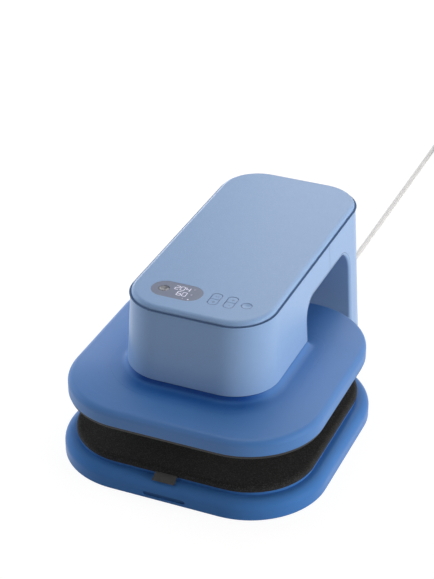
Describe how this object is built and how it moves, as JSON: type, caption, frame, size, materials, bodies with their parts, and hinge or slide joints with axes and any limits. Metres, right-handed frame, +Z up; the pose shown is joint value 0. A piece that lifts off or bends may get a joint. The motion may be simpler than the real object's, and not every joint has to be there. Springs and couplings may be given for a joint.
{
  "type": "automatic heat press",
  "caption": "Table-top heat press: padded base, hinged arched arm, and a head whose motor and lead screw lower a heated platen onto the mat; display, buttons, rockers and mains cord.",
  "frame": {"origin": "on the table, on the foot under the centre of the press", "axes": "+X to the right seen from the front, +Y to the back where the cord leaves, +Z up"},
  "size_m": [0.426, 1.3929, 0.279],
  "materials": {
    "base_blue": "fine matt moulding",
    "platen_blue": "fine matt moulding",
    "arm_blue": "fine matt moulding",
    "lid_blue": "fine matt moulding",
    "black_plastic": "matt black",
    "mat_cloth": "speckled black cloth over a firm pad",
    "tag_cloth": "woven black tape",
    "rubber_black": "matt rubber",
    "smoked_window": "smoked gloss",
    "steel": "plain steel",
    "brass": "machined brass",
    "plate_aluminium": "dark non-stick coat on aluminium",
    "insulation": "ceramic fibre",
    "circuit_board": "coated circuit board",
    "cord_grey": "smooth pale grey sheath"
  },
  "bodies": {
    "base": {"base_shell": "base_blue", "base_bottom_plate": "black_plastic", "base_frame": "steel", "base_screws": "steel", "rubber_feet": "rubber_black", "mat_tray": "base_blue", "press_mat": "mat_cloth", "mat_tag": "tag_cloth", "hinge_base_leaf": "steel", "hinge_pin": "steel", "power_board": "circuit_board", "lock_actuator": "black_plastic", "cord_gland": "cord_grey", "cord_run": "cord_grey", "cord_coil": "cord_grey", "coil_tie": "black_plastic", "mains_plug": "cord_grey", "plug_pins": "steel"},
    "arm": {"head_shell_front": "arm_blue", "arch_shell_rear": "arm_blue", "arch_liner": "arm_blue", "top_lid": "lid_blue", "display_lens": "smoked_window", "display_module": "black_plastic", "control_board": "circuit_board", "key_switches": "black_plastic", "arm_frame": "steel", "hinge_arm_leaf": "steel", "torsion_cartridge": "brass", "drive_motor": "steel", "thrust_bearing": "steel", "guide_posts": "steel"},
    "platen": {"platen_cover": "platen_blue", "platen_rim": "black_plastic", "heat_plate": "plate_aluminium", "heating_element": "steel", "insulation_blanket": "insulation", "temperature_sensor": "brass", "platen_standoffs": "steel", "platen_carriage": "steel", "neck_sleeve": "platen_blue", "guide_bushes": "brass", "lead_nut": "brass"},
    "screw": {"lead_screw": "steel", "screw_gear": "brass"},
    "motor_shaft": {"motor_pinion": "brass"},
    "bolt": {"lock_bolt": "steel"},
    "power_key": {"power_button": "smoked_window"},
    "temp_time_key": {"temp_time_rocker": "lid_blue"},
    "plus_minus_key": {"plus_minus_rocker": "lid_blue"},
    "start_key": {"start_button": "lid_blue"}
  },
  "joints": [
    {"name": "arm_open", "type": "hinge", "parent": "base", "child": "arm", "pos_m": [0, 0.362, 0.038], "axis": [-1, 0, 0], "range_deg": [0, 38]},
    {"name": "platen_press", "type": "slide", "parent": "arm", "child": "platen", "axis": [0, 0, -1], "range_m": [0, 0.054]},
    {"name": "screw_spin", "type": "hinge", "parent": "arm", "child": "screw", "pos_m": [0, 0, 0.2], "axis": [0, 0, 1], "continuous": true},
    {"name": "motor_spin", "type": "hinge", "parent": "arm", "child": "motor_shaft", "pos_m": [0, 0.04215, 0.21], "axis": [0, 0, 1], "continuous": true},
    {"name": "lock_bolt_slide", "type": "slide", "parent": "base", "child": "bolt", "axis": [1, 0, 0], "range_m": [0, 0.024]},
    {"name": "power_press", "type": "slide", "parent": "arm", "child": "power_key", "axis": [0, 0, -1], "range_m": [0, 0.0012], "stiffness_N_per_m": 600, "springref_m": -0.0004},
    {"name": "temp_time_rock", "type": "hinge", "parent": "arm", "child": "temp_time_key", "pos_m": [0.021, -0.066, 0.2743], "axis": [1, 0, 0], "range_deg": [-3, 3], "stiffness_Nm_per_rad": 0.4},
    {"name": "plus_minus_rock", "type": "hinge", "parent": "arm", "child": "plus_minus_key", "pos_m": [0.0464, -0.066, 0.2743], "axis": [1, 0, 0], "range_deg": [-3, 3], "stiffness_Nm_per_rad": 0.4},
    {"name": "start_press", "type": "slide", "parent": "arm", "child": "start_key", "axis": [0, 0, -1], "range_m": [0, 0.0012], "stiffness_N_per_m": 600, "springref_m": -0.0004}
  ],
  "couplings": [
    {"joint": "screw_spin", "follows": "platen_press", "rad_per_m": 523.6},
    {"joint": "motor_spin", "follows": "platen_press", "rad_per_m": -1309}
  ]
}
